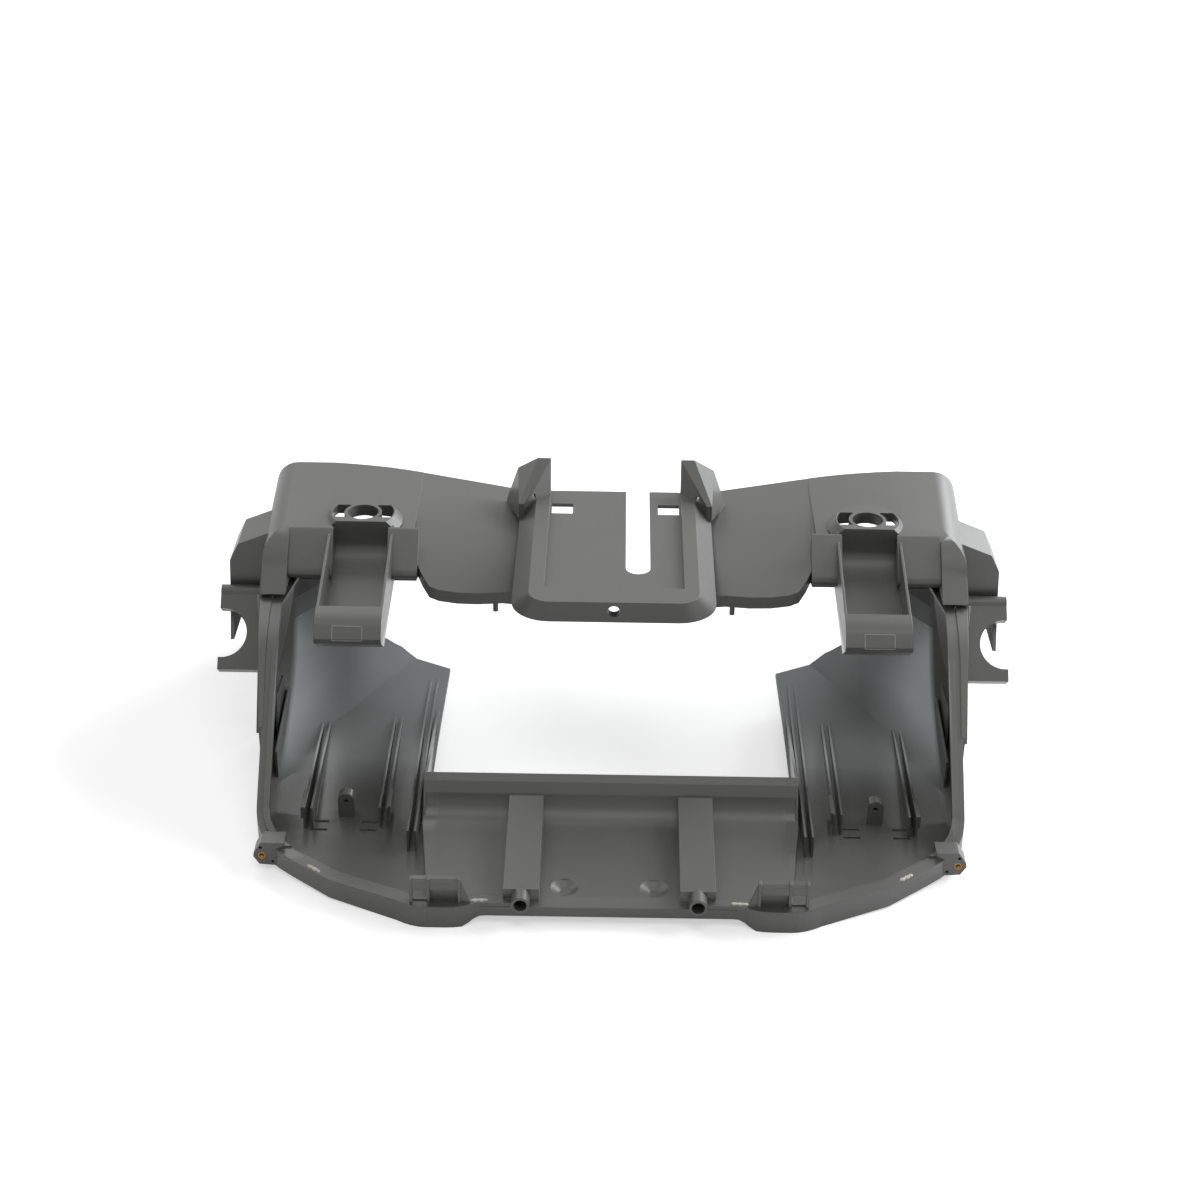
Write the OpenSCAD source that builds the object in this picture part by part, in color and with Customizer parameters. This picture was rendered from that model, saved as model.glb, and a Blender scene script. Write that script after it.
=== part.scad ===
// Injection moulded plastic housing: one wide U-shaped shell, open towards the viewer.
// Two tubs with fin ribs lie left and right of a shallow front tray, a rim runs up both
// sides to two domed shoulders, and a notched pocket bridges them across the back.
// Millimetres, +Z up, +Y to the back, origin at the middle of the footprint.

/* [Shell] */
// General wall thickness
wall = 2.8; // [2.2:0.1:3.6]
// Width over the two side cradles
housing_w = 600; // [560:1:640]
// Depth from the front feet to the back edge
housing_d = 388; // [370:1:410]
// Half width over the rim at the front corners
rim_half_w = 251; // [244:1:256]
// Width of the rim flange
rim_w = 9; // [7:0.5:12]
// Height of the rim flange at the front
rim_front_z = 17; // [14:0.5:20]
// Height of the rim where it runs under the shoulders
rim_back_z = 125; // [118:1:130]
// Height of the shoulder skin
shoulder_z = 160; // [154:1:164]
// Half width over the shoulders at the back edge
shoulder_half_w = 271; // [266:1:274]
// Outside radius along the shoulder side edge
shoulder_r = 18; // [12:1:24]
// Distance of the flat facets from the front
facet_y = 277; // [270:1:284]

/* [Tubs] */
// Lowest level of the tub floor
tub_z = 12; // [10:0.5:14]
// Half width of the opening between the tubs at the back
opening_half_w = 128; // [120:1:134]
// Distance of the back edge of the tub floor from the front
tub_back_y = 302; // [290:1:312]
// Angle of the ramp that carries the floor up to the shoulder
ramp_angle = 35; // [28:1:42]
// Level of the rib tops
rib_z = 30; // [26:0.5:34]
// Rib thickness
rib_t = 1.6; // [1.2:0.1:2.2]
// Clear gap between the two ribs of a pair
rib_gap = 3.7; // [3:0.1:5]

/* [Tray] */
// Half width of the tray at its back edge
tray_half_w = 134; // [130:1:138]
// Half width of the tray near the front
tray_front_half_w = 125; // [118:1:130]
// Distance of the tray back edge from the front
tray_back_y = 121; // [115:1:128]
// Height of the tray back edge
tray_back_z = 45; // [38:1:50]
// Half spacing of the two duct blocks
duct_x = 60.1; // [54:0.1:66]
// Width of a duct block
duct_w = 24.4; // [22:0.1:27]
// Outside diameter of a duct tube
tube_d = 12.6; // [11:0.1:14]
// Bore of a duct tube
tube_bore = 9; // [7:0.1:9.4]
// Upper diameter of the conical dimples
dimple_d = 20.5; // [16:0.5:24]

/* [Shoulder details] */
// Half spacing of the round holes
hole_x = 192; // [188:1:196]
// Distance of the round holes from the front
hole_y = 297; // [295:1:302]
// Diameter of the round holes
hole_d = 23.6; // [20:0.1:26]
// Outside width of a chute
chute_w = 48.6; // [44:0.2:54]
// Half spacing of the chutes
chute_x = 191.5; // [188:0.5:195]
// Distance of the chute front from the front
chute_front_y = 187; // [180:1:196]
// Wall of a chute
chute_wall = 1.9; // [1.6:0.1:2.6]
// Depth of a chute recess
chute_depth = 27; // [20:1:32]

/* [Pocket] */
// Inside width of the pocket
pocket_w = 102; // [96:1:108]
// Distance of the pocket front face from the front
pocket_front_y = 177; // [170:1:184]
// Distance of the pocket back edge from the front
pocket_back_y = 364; // [354:1:372]
// Level of the pocket floor
pocket_z = 150; // [146:0.5:153]
// Level of the pocket rim
pocket_rim_z = 155; // [153:0.5:159]
// Width of the cable slot in the pocket floor
slot_w = 18.3; // [14:0.1:22]
// Sideways offset of the cable slot
slot_x = 17.5; // [10:0.5:24]
// Distance from the pocket floor front to the slot end
slot_end = 30; // [22:1:40]
// Size of the square windows
window_w = 16.4; // [12:0.2:20]
// Diameter of the screw hole in the pocket front
screw_hole_d = 9; // [6:0.1:10]
// Level of the two horn tips
horn_z = 178.5; // [172:0.5:184]

/* [Cradles] */
// Radius of the half round cut
cradle_r = 19; // [15:0.5:21]
// Depth of a cradle plate from front to back
cradle_t = 11; // [8:0.5:14]
// Distance of the cradle plates from the front
cradle_y = 231; // [226:1:236]
// Angle that a cradle plate leans back
cradle_lean = 42; // [36:1:46]
// Level of the foot of a cradle plate
cradle_foot_z = 61; // [57:0.5:64]
// Length of a cradle plate up its slope
cradle_h = 67; // [63:1:70]
// Distance of the cradle axis from the foot, up the slope
cradle_at = 28.5; // [26:0.5:31]

/* [Inserts] */
// Outside diameter of a brass insert
insert_d = 6.4; // [5:0.1:7.5]
// Thread bore of a brass insert
insert_bore = 3.3; // [2.5:0.1:4.2]
// Length of a brass insert
insert_l = 8; // [6:0.5:10]
// Half spacing of the inserts
insert_x = 244; // [242:0.5:247]
// Distance of the insert front faces from the front
insert_y = 62; // [60:0.5:65]
// Level of the insert axis
insert_z = 12; // [10:0.5:14]

/* [Hidden] */
$fn = 40;
eps = 0.01;
half_w = housing_w / 2;
mid_y = housing_d / 2;
ledge_in = rim_w + 2;
rib_pitch = rib_t + rib_gap;
tub_under = tub_z - wall;
pocket_half = pocket_w / 2;
pocket_out = pocket_half + wall + 8;
pocket_bottom = pocket_z - 11.4;
pocket_floor_y = pocket_front_y + 22;
dome_h = 3;
collar_drop = wall + 3.4;
chute_in = chute_w / 2 - chute_wall;
chute_bottom = shoulder_z - 51;
saddle_x = 154;
saddle_z = pocket_z - 8.5;
saddle_tilt = 10;
saddle_front_y = 234;
tube_z = 19.4;
screw_hole_z = pocket_z - 2.5;
screw_boss_l = 8;
plan_turn = 3;
cradle_x = half_w - 2;

// Plane curves.

// Quadratic arc from a to c that leaves towards b
function arc3(a, b, c, n) = [for (i = [0:n])
    let (t = i / n)
    a * (1 - t) * (1 - t) + b * 2 * t * (1 - t) + c * t * t];

// Unit normal to the left of the step from a to b
function left_of(a, b) = let (d = b - a) [-d[1], d[0]] / norm(d);

// An open curve moved sideways by s, mitred at its points
function shifted(c, s) = let (n = len(c)) [for (i = [0:n - 1])
    let (u = left_of(c[max(i - 1, 0)], c[max(i, 1)]))
    let (v = left_of(c[min(i, n - 2)], c[min(i + 1, n - 1)]))
    c[i] + s * (u + v) / (1 + u * v)];

function back_to_front(c) = [for (i = [len(c) - 1:-1:0]) c[i]];

// A band of thickness s to the left of an open curve
function band(c, s) = concat(c, back_to_front(shifted(c, s)));

// The region between a curve and the level z
function to_level(c, z) = concat(c, [[c[len(c) - 1][0], z], [c[0][0], z]]);

function mirrored(c) = [for (p = back_to_front(c)) [-p[0], p[1]]];

// Prisms.

// Points [y, z] drawn in the side view, from x0 to x1
module side_prism(pts, x0, x1) {
    translate([x0, 0, 0])
        rotate([90, 0, 90])
            linear_extrude(x1 - x0)
                polygon(pts);
}

// Points [x, z] drawn in the front view, from y0 to y1
module front_prism(pts, y0, y1) {
    translate([0, y1, 0])
        rotate([90, 0, 0])
            linear_extrude(y1 - y0)
                polygon(pts);
}

// Points [x, y] drawn in plan, from z0 to z1
module plan_prism(pts, z0, z1) {
    translate([0, 0, z0])
        linear_extrude(z1 - z0)
            polygon(pts);
}

module box(x0, x1, y0, y1, z0, z1) {
    translate([x0, y0, z0])
        cube([x1 - x0, y1 - y0, z1 - z0]);
}

module both() {
    children();
    mirror([1, 0, 0])
        children();
}

// Curves of the shell.

// Outside of the front body in plan, right half, from the middle to the shoulder
outline = concat(
    [[0, 6], [84, 6]],
    arc3([92, 5], [98, 0], [112, 0], 4),
    arc3([124, 0], [134, 0], [145, 7.5], 4),
    [[193, 29]],
    arc3([222, 51.5], [rim_half_w - 1, 73], [rim_half_w, 92], 5),
    [[rim_half_w + 2, 182], [rim_half_w + 5, cradle_y]],
    [[rim_half_w - 4, facet_y], [rim_half_w - 4, tub_back_y + 20]]);

// Rim height in the side view, from the front to the shoulder
rim_line = concat(
    [[-5, rim_front_z]],
    arc3([54, rim_front_z], [84, rim_front_z + 1], [100, rim_front_z + 20], 5),
    arc3([172, rim_back_z - 28], [188, rim_back_z - 13], [212, rim_back_z - 8], 5),
    [[cradle_y, rim_back_z - 5], [facet_y + 30, rim_back_z]]);

// Tub floor in the side view, upper surface
tub_floor = concat(
    [[-5, rim_front_z - 1.5], [12, rim_front_z - 2]],
    arc3([24, rim_front_z - 3], [50, tub_z], [86, tub_z], 5),
    arc3([110, tub_z + 1], [180, tub_z + 13], [216, rib_z - 3], 6),
    [[tub_back_y + 40, rib_z + 2]]);

// Tray floor in the side view, upper surface
tray_floor = concat(
    [[3, 13.2], [14, 15.5], [84, 17.5]],
    arc3([94, 18.5], [108, 21], [110.5, 35], 6),
    [[tray_back_y - 6, tray_back_z - 3], [tray_back_y, tray_back_z]]);

// Rise of the ramp, drawn along its own direction from its foot
ramp_line = concat(
    [[-400, -98], [-110, -38]],
    arc3([-96, -33], [2, -10], [32, 26], 9),
    arc3([37, 33], [55, 62], [60, 100], 5),
    [[64, 140]]);

// Opening side of a tub in plan, from the tray to the back edge
tub_edge = concat(
    [[tray_front_half_w - 3, 40], [tray_half_w - 4, 100], [tray_half_w - 2, tray_back_y]],
    [[opening_half_w, tub_back_y - 14]],
    arc3([146, tub_back_y - 5], [176, tub_back_y + 12], [216, tub_back_y + 16], 5),
    [[rim_half_w + 20, tub_back_y + 16]]);

// Shoulder skin in the side view
shoulder_line = concat(
    [[housing_d, shoulder_z], [facet_y + 14, shoulder_z]],
    arc3([facet_y + 2, shoulder_z - 0.5], [facet_y - 14, shoulder_z - 3],
         [facet_y - 26, shoulder_z - 22], 5),
    [[cradle_y - 2, rim_back_z - 4]]);

// Shoulder skin in the front view, from the crease to the side edge
skin_front = concat(
    [[saddle_x, 60]],
    arc3([saddle_x, shoulder_z - 7.5], [saddle_x + 30, shoulder_z - 2],
         [saddle_x + 70, shoulder_z], 5),
    [for (a = [90:-15:0]) [shoulder_half_w - shoulder_r + shoulder_r * cos(a),
                            shoulder_z - shoulder_r + shoulder_r * sin(a)]],
    [[shoulder_half_w, 60]]);

// Skin of the saddle in the side view, heights at the crease
saddle_line = concat(
    [[housing_d, shoulder_z - 7.5], [346, shoulder_z - 8]],
    arc3([330, shoulder_z - 8.2], [290, shoulder_z - 10], [262, shoulder_z - 19], 5),
    arc3([252, shoulder_z - 22], [240, shoulder_z - 26], [saddle_front_y - 4, rim_back_z + 6], 3),
    [[saddle_front_y - 20, rim_back_z + 2]]);

// Front edge of the saddle in plan
saddle_edge = concat([[56, saddle_front_y + 15]],
    arc3([84, saddle_front_y + 12], [112, saddle_front_y + 3], [131, saddle_front_y + 4], 3),
    arc3([138, saddle_front_y + 6], [147, saddle_front_y + 18], [saddle_x + 1, facet_y], 3));

// Front body.

// The cutters (drop 0) reach past the bodies (drop > 0) at every open end
function past(drop) = drop > 0 ? 0 : 7;

module above_floor(drop) {
    side_prism(to_level(shifted(tub_floor, -drop), 200 + past(drop)),
               80 - past(drop), half_w + past(drop));
}

// Above the ramp: the curve is drawn along x and turned to its direction
module above_ramp(drop) {
    translate([225, 205, rib_z])
        rotate([0, 0, ramp_angle])
            front_prism(to_level(shifted(ramp_line, -drop), 220 + past(drop)),
                        -320 - past(drop), 220 + past(drop));
}

module inside_outline(drop) {
    plan_prism(concat([[90 - past(drop), -12 - past(drop)]],
                      [for (i = [6:len(outline) - 1]) shifted(outline, wall - drop)[i]],
                      [[90 - past(drop), 322]]), -3 - past(drop), 190 + past(drop));
}

module tub_space(drop) {
    intersection() {
        above_floor(drop);
        above_ramp(drop);
        inside_outline(drop);
    }
}

module under_rim(drop) {
    side_prism(to_level(shifted(rim_line, -drop), -20), 0, half_w);
}

// Plan of one tub, cut to the rim height
module tub_block() {
    intersection() {
        plan_prism(concat(tub_edge, [[rim_half_w + 20, -11], [tray_front_half_w - 3, -11]]),
                   -4, 180);
        under_rim(0);
    }
}

module tub() {
    difference() {
        intersection() {
            tub_block();
            tub_space(wall);
        }
        tub_space(0);
    }
}

// Flange along the top of the side wall
module rim() {
    difference() {
        intersection() {
            side_prism(band(rim_line, -wall), 60, half_w);
            plan_prism(band(outline, rim_w), -10, 300);
        }
        box(-1, half_w, facet_y + 2, 500, -11, 301);
    }
    // Raised inner lip of the rim, from the front up to the cradles
    intersection() {
        side_prism(band(shifted(rim_line, 1.4), -1.8), 60, half_w);
        plan_prism(band(shifted(outline, rim_w - 4.5), 4.5), -10, 300);
        box(60, half_w, 64, 184, 0, 200);
    }
}

// Front lip: full height at the two feet, shallow in the middle
module front_lip() {
    intersection() {
        plan_prism(band(outline, wall), 0, rim_front_z - eps);
        union() {
            box(0, 110, -5, 16, 6.2, rim_front_z - 3.5);
            front_prism([[88, 6.2], [100, 0], [146, 0], [rim_half_w + 6, 4],
                         [rim_half_w + 6, rim_front_z], [96, rim_front_z],
                         [88, rim_front_z - 3.5]], -5, 100);
        }
    }
    intersection() {
        plan_prism(band(outline, ledge_in), 0, rim_front_z);
        front_prism([[86, 10.4], [96, rim_front_z - wall], [240, rim_front_z - wall],
                     [240, rim_front_z], [96, rim_front_z], [86, rim_front_z - 3.5]],
                    -5, 62);
    }
}

module tray() {
    intersection() {
        side_prism(band(tray_floor, -wall), 0, tray_half_w);
        plan_prism([[0, -5], [tray_front_half_w - 1, -5], [tray_front_half_w, 20],
                    [tray_half_w, 95], [tray_half_w, 200], [0, 200]], -5, 100);
        plan_prism(concat([[0, 200]], outline, [[rim_half_w, 200]]), -5, 100);
    }
    // Side web that ties the tray corner to the tub floor
    side_prism([[92, tub_under + 1], [105, 26], [tray_back_y - 6, tray_back_z - 3],
                [tray_back_y, tray_back_z], [tray_back_y + 4, tray_back_z - 2],
                [tray_back_y + 116, rib_z - 3.5], [tray_back_y + 116, rib_z - 5],
                [170, tub_under + 7]], tray_half_w - 2, tray_half_w);
}

// One rib from y0 to y1, with its foot buried in the floor
module rib(x, y0, y1, z_top) {
    side_prism([[y0, tub_z - 1], [y0, z_top], [y1, z_top], [y1 + 6, z_top - 1.4],
                [y1 + 6, z_top - 3.4], [(y0 + y1) / 2, tub_z + 1], [y0 + 20, tub_z - 1]],
               x - rib_t / 2, x + rib_t / 2);
}

module rib_pair(x, y0, y1, z_top) {
    rib(x - rib_pitch / 2, y0, y1, z_top);
    rib(x + rib_pitch / 2, y0, y1, z_top);
}

module rib_pad(x, y, z_top) {
    box(x - 1.4, x + 1.4, y, y + 22, z_top - 9, z_top + 0.6);
}

// Upright screw boss with a round head
module tub_boss() {
    translate([189.5, 116, tub_z - 1])
        rotate([90, 0, 0])
            difference() {
                union() {
                    linear_extrude(8)
                        translate([-5.75, 0])
                            square([11.5, 17]);
                    translate([0, 17, 0])
                        cylinder(d = 11.5, h = 8);
                }
                translate([0, 16.5, 2])
                    cylinder(d = 3, h = 8);
            }
}

module tub_fittings() {
    rib_pair(215.2, 95, 206, rib_z);
    rib_pair(161.7, 97, 212, rib_z);
    rib_pair(139.4, 70, 270, rib_z - 0.5);
    rib_pad(215.2 + rib_pitch / 2 + 1, 95, rib_z);
    rib_pad(161.7 - rib_pitch / 2 - 1, 98, rib_z);
    tub_boss();
    // Two short fins on the side wall
    side_prism([[145, 15], [145, 44], [220, 54], [222, 46], [200, 28]],
               rim_half_w - 7.6, rim_half_w - 7.6 + rib_t);
    side_prism([[176, 28], [179, 69], [216, 66], [219, 48]],
               rim_half_w - 4.2, rim_half_w - 4.2 + rib_t);
}

module tub_cuts() {
    for (x = [172.5, 208], y = [94, 103.5])
        box(x - 6, x + 6, y - 1.2, y + 1.2, -1, 14.8);
}

// Bracket on the front ledge: a rolled bar on three posts, two windows below it
module clip() {
    for (x = [100.4, 121.2, 133])
        box(x, x + 2, 4, 9, rim_front_z - 1, rim_front_z + 20);
    side_prism([[8.2, rim_front_z + 10], [4.4, rim_front_z + 11], [4.4, rim_front_z + 17],
                [6.4, rim_front_z + 19], [9.6, rim_front_z + 19.6],
                [9.6, rim_front_z + 10]], 100.4, 135);
    box(100.4, 135, 7.6, 9.4, rim_front_z - 1, rim_front_z + 11);
    front_prism([[94, rim_front_z - 0.5], [94, rim_front_z + 0.8],
                 [100.6, rim_front_z + 19], [100.6, rim_front_z - 0.5]], 5, 6.8);
}

module clip_cuts() {
    box(123.2, 133, 7, 10, rim_front_z + 1, rim_front_z + 9.4);
}

// Sloping duct block with a round tube on its front
module duct() {
    side_prism([[11, 14.6], [11, 25], [106, 36], [112, 33], [104, 20], [90, 16]],
               duct_x - duct_w / 2, duct_x + duct_w / 2);
    translate([duct_x, 12, tube_z])
        rotate([90, 0, 0])
            cylinder(d = tube_d, h = 12);
}

module duct_bore() {
    translate([duct_x, 60, tube_z])
        rotate([90, 0, 0])
            cylinder(d = tube_bore, h = 61);
}

module dimple() {
    translate([30.7, 25.7, 9.8])
        cylinder(d1 = dimple_d * 0.34 + 2 * wall, d2 = dimple_d + 2 * wall, h = 5.4);
}

module dimple_cut() {
    translate([30.7, 25.7, 12.2])
        cylinder(d1 = dimple_d * 0.34, d2 = dimple_d, h = 3.9);
}

// Lug on the front corner that carries a brass insert
module lug() {
    difference() {
        intersection() {
            front_prism([[226, 3.5], [246, 5], [250, 11.5], [249.5, 14.5],
                         [244, 23], [226, 23]], insert_y, insert_y + 14);
            plan_prism([[228, 60], [254, 60], [254, 72], [249, 77], [228, 80]], 0, 40);
        }
        translate([insert_x, insert_y + insert_l, insert_z])
            rotate([90, 0, 0])
                cylinder(d = insert_d, h = insert_l + 1);
        for (a = [[insert_x + 0.5, 18.8], [insert_x - 7.5, 7.2]])
            translate([a[0], insert_y + 4, a[1]])
                rotate([90, 0, 0])
                    cylinder(d = 2.2, h = 5);
    }
}

module lug_clear() {
    translate([insert_x, insert_y + insert_l, insert_z])
        rotate([90, 0, 0])
            cylinder(d = insert_d, h = insert_l + 20);
}

// Shoulders.

module shoulder_form(drop) {
    difference() {
        intersection() {
            side_prism(to_level(shifted(shoulder_line, drop), -20 - past(drop)),
                       saddle_x - 1, half_w);
            shoulder_turn()
                front_prism(shifted(skin_front, -drop), cradle_y - 4 - drop,
                            housing_d + 14 + drop);
        }
        box(0, rim_half_w - 6 + drop, 0, facet_y + drop, -60, 400);
    }
}

module shoulder() {
    difference() {
        intersection() {
            shoulder_form(0);
            box(0, half_w, 0, housing_d, rim_back_z, 400);
        }
        shoulder_form(wall);
    }
    // Low dome round the hole, and the collar that lines it
    translate([hole_x, hole_y, shoulder_z - 4.5])
        cylinder(d1 = hole_d + 37, d2 = hole_d + 25, h = dome_h + 4.5);
    translate([hole_x, hole_y, shoulder_z - collar_drop])
        cylinder(d = hole_d + 5, h = dome_h + collar_drop);
    // Rim strip under the flat facet
    box(saddle_x - wall, rim_half_w - 4, facet_y + 1.2, facet_y + 1.2 + wall,
        rim_back_z - 11, rim_back_z + 2);
}

// The shoulder and its side wall narrow a little towards the front
module shoulder_turn() {
    translate([saddle_x, housing_d, 0])
        rotate([0, 0, -plan_turn])
            translate([-saddle_x, -housing_d, 0])
                children();
}

// Side wall of the back part, leaning out towards the resting face
module skirt() {
    intersection() {
        shoulder_turn()
            front_prism(band([[shoulder_half_w, shoulder_z - shoulder_r],
                              [shoulder_half_w + 12.5, -6]], -wall),
                        cradle_y - 2, housing_d + 12);
        side_prism(to_level([[housing_d, shoulder_z], [facet_y, shoulder_z],
                             [cradle_y + 6, rim_back_z - 1], [cradle_y + 6, 0]], 0),
                   rim_half_w, half_w);
    }
    // Outer skin beside the rim, forward of the side wall
    intersection() {
        plan_prism([[rim_half_w, 138], [rim_half_w + 3, 138], [rim_half_w + 13, cradle_y + 6],
                    [rim_half_w + 16, cradle_y + 9], [rim_half_w + 4, cradle_y + 9]],
                   34, rim_back_z + 2);
        under_rim(-0.8);
    }
}

module hole_cuts() {
    translate([hole_x, hole_y, shoulder_z - 20]) {
        cylinder(d = hole_d, h = 40);
        // Two curved side windows round the collar
        for (s = [-1, 1])
            intersection() {
                difference() {
                    cylinder(d = hole_d + 23, h = 40);
                    translate([0, 0, -1])
                        cylinder(d = hole_d + 5, h = 42);
                }
                translate([s * 19.5, 1.5, 20])
                    cube([18, 20, 50], center = true);
            }
    }
}

module saddle_turn() {
    translate([saddle_x, 0, shoulder_z])
        rotate([0, -saddle_tilt, 0])
            translate([-saddle_x, 0, -shoulder_z])
                children();
}

module saddle() {
    intersection() {
        saddle_turn()
            side_prism(band(saddle_line, wall), 40, saddle_x + 3);
        plan_prism(concat(saddle_edge, [[saddle_x + 1, housing_d], [56, housing_d]]),
                   80, 300);
    }
    // Turned-down flange along the front edge
    intersection() {
        plan_prism(band(saddle_edge, wall), 95, 200);
        saddle_turn()
            side_prism(band(saddle_line, 9), 38, saddle_x + 4);
    }
    // Locating pin under the flange
    translate([89, saddle_front_y + 13, rim_back_z - 18])
        cylinder(d = 4, h = 16);
}

// Chute: an open-topped box that leans forward from the flat facet and ends in a rolled lip
module chute() {
    side_prism(concat(
        [[facet_y + 6.4, shoulder_z - 1], [facet_y + 2, shoulder_z - 1.5],
         [chute_front_y + 9, shoulder_z - 20]],
        arc3([chute_front_y + 4, shoulder_z - 21], [chute_front_y - 6, shoulder_z - 22.5],
             [chute_front_y - 11, shoulder_z - 27], 6),
        [[chute_front_y - 17, shoulder_z - 35], [chute_front_y - 16, shoulder_z - 39],
         [chute_front_y, chute_bottom], [facet_y + 6.4, chute_bottom + 12]]),
        chute_x - chute_w / 2, chute_x + chute_w / 2);
}

module chute_cut() {
    side_prism(concat(
        [[facet_y + 4.2, shoulder_z + 3], [facet_y + 4.2, shoulder_z - 8]],
        arc3([facet_y + 3.8, shoulder_z - 16], [facet_y + 2, shoulder_z - chute_depth],
             [facet_y - 16, shoulder_z - chute_depth - 4], 6),
        [[chute_front_y + 7, shoulder_z - 19 - chute_depth],
         [chute_front_y + 6, shoulder_z - 10], [chute_front_y + 6, shoulder_z + 3]]),
        chute_x - chute_in, chute_x + chute_in);
}

// Pocket.

module rounded_front(half, y0, y1, r, z0, z1) {
    box(-half, half, y0 + r, y1, z0, z1);
    box(-half + r, half - r, y0, y0 + r + 1, z0, z1);
    for (s = [-1, 1])
        translate([s * (half - r), y0 + r, z0])
            cylinder(r = r, h = z1 - z0);
}

// Outside of the pocket: straight front, sides that flare out towards the saddle
module pocket_body() {
    hull() {
        rounded_front(pocket_out, pocket_front_y, pocket_back_y, 15,
                      pocket_rim_z - 1, pocket_rim_z);
        rounded_front(pocket_out + 13, pocket_front_y, pocket_back_y, 28,
                      pocket_bottom, pocket_bottom + 1);
    }
}

module pocket_boss() {
    translate([0, pocket_front_y + screw_boss_l, screw_hole_z])
        rotate([90, 0, 0])
            cylinder(d = screw_hole_d + 5, h = screw_boss_l - 1);
}

module pocket_hollow() {
    // Upper recess and the hollow under the floor
    box(-pocket_half, pocket_half, pocket_floor_y, pocket_back_y + 60,
        pocket_z, pocket_rim_z + 60);
    hull() {
        rounded_front(pocket_out, pocket_front_y + wall, pocket_back_y + 60, 14,
                      pocket_z - wall - 1, pocket_z - wall);
        rounded_front(pocket_out + 13 - wall * 1.4, pocket_front_y + wall,
                      pocket_back_y + 60, 26, pocket_bottom - 3, pocket_bottom - 2);
    }
}

module pocket_cuts() {
    translate([slot_x, pocket_floor_y + slot_end + slot_w / 2, pocket_z - 20]) {
        cylinder(d = slot_w, h = 40);
        translate([-slot_w / 2, 0, 0])
            cube([slot_w, 300, 40]);
    }
    both()
        box(pocket_half - 1.5 - window_w, pocket_half - 1.5, pocket_back_y - 39,
            pocket_back_y - 39 + window_w, pocket_z - 10, pocket_z + 10);
    translate([0, pocket_front_y + 15, screw_hole_z])
        rotate([90, 0, 0])
            cylinder(d = screw_hole_d, h = 17);
}

// Horn at the back end of a pocket wall: slanting facets down to the wall top
module horn_form(drop) {
    back = pocket_back_y + (drop > 0 ? 10 : 0);
    hull() {
        front_prism([[pocket_half + drop, pocket_z - 8], [pocket_half + drop, horn_z - drop],
                     [pocket_half + 10.6 - drop / 2, horn_z - drop],
                     [pocket_half + 26 - drop, horn_z - 8.7 - drop],
                     [pocket_half + 31 - drop, pocket_rim_z - drop],
                     [pocket_half + 35 - drop, saddle_z + 1 - drop],
                     [pocket_half + 35 - drop, pocket_z - 12]],
                    pocket_back_y - 1, back);
        plan_prism([[pocket_half + drop, pocket_back_y - 2],
                    [pocket_half + drop, pocket_back_y - 15 + drop],
                    [pocket_half + 2.5, pocket_back_y - 15 + drop],
                    [pocket_half + 20 - drop, pocket_back_y - 34 + drop],
                    [pocket_half + 24 - drop, pocket_back_y - 34 + drop],
                    [pocket_half + 30 - drop, pocket_back_y - 2]],
                   pocket_z - 8, pocket_rim_z - drop / 2);
    }
}

module horn() {
    difference() {
        horn_form(0);
        horn_form(wall);
        // Small slot in the facet
        translate([pocket_half + 14, pocket_back_y - 24, pocket_rim_z - 6])
            rotate([0, 0, 42])
                cube([5, 3, 20], center = true);
    }
}

// Side cradles.

// Local frame of a cradle plate: z runs up the leaning plate, y through it
module on_cradle() {
    translate([0, cradle_y, cradle_foot_z])
        rotate([-cradle_lean, 0, 0])
            children();
}

module cradle() {
    on_cradle()
        difference() {
            union() {
                box(rim_half_w + 8, half_w, 0, cradle_t, 0, cradle_h - 5);
                translate([rim_half_w + 8, 4.5, cradle_h - 5.5])
                    rotate([0, 90, 0])
                        cylinder(r = 5.5, h = half_w - rim_half_w - 8);
            }
            translate([cradle_x, -1, cradle_at])
                rotate([-90, 0, 0])
                    cylinder(r = cradle_r, h = cradle_t + 2);
        }
}

// Keeps the half round clear of the skin behind the plate
module cradle_clear() {
    on_cradle()
        translate([cradle_x, -1, cradle_at])
            rotate([-90, 0, 0])
                cylinder(r = cradle_r, h = cradle_t + 2);
}

// Outline of the curved skin beside the shoulder in the front view
flap_line = [[shoulder_half_w - 9, shoulder_z - 8], [half_w - 13.5, shoulder_z - 18],
             [half_w - 6.5, shoulder_z - 32], [half_w - 5, shoulder_z - 62],
             [half_w - 7, shoulder_z - 88]];

// Curved skin behind a cradle plate, with a front panel above the plate
module flap() {
    front_prism(band(flap_line, -wall), 281, 322);
    intersection() {
        front_prism(band([flap_line[2], flap_line[3], flap_line[4]], -wall), cradle_y, 282);
        on_cradle()
            box(rim_half_w, half_w + 10, cradle_t - 1, 200, -20, 200);
    }
    front_prism([flap_line[0], flap_line[1], flap_line[2], [half_w - 5.5, shoulder_z - 58],
                 [rim_half_w + 14, shoulder_z - 58], [rim_half_w + 11, shoulder_z - 9]],
                281, 281 + wall);
}

// The moulding.

module housing_form() {
    difference() {
        union() {
            both() {
                tub();
                rim();
                front_lip();
                tray();
                tub_fittings();
                clip();
                duct();
                dimple();
                lug();
                shoulder();
                skirt();
                saddle();
                chute();
                cradle();
                flap();
            }
            difference() {
                pocket_body();
                pocket_hollow();
            }
            pocket_boss();
            both()
                horn();
        }
        both() {
            tub_cuts();
            clip_cuts();
            duct_bore();
            dimple_cut();
            hole_cuts();
            chute_cut();
            lug_clear();
            cradle_clear();
        }
        pocket_cuts();
    }
}

module housing() {
    color("#5a5a58")
        translate([0, -mid_y, 0])
            housing_form();
}

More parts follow.
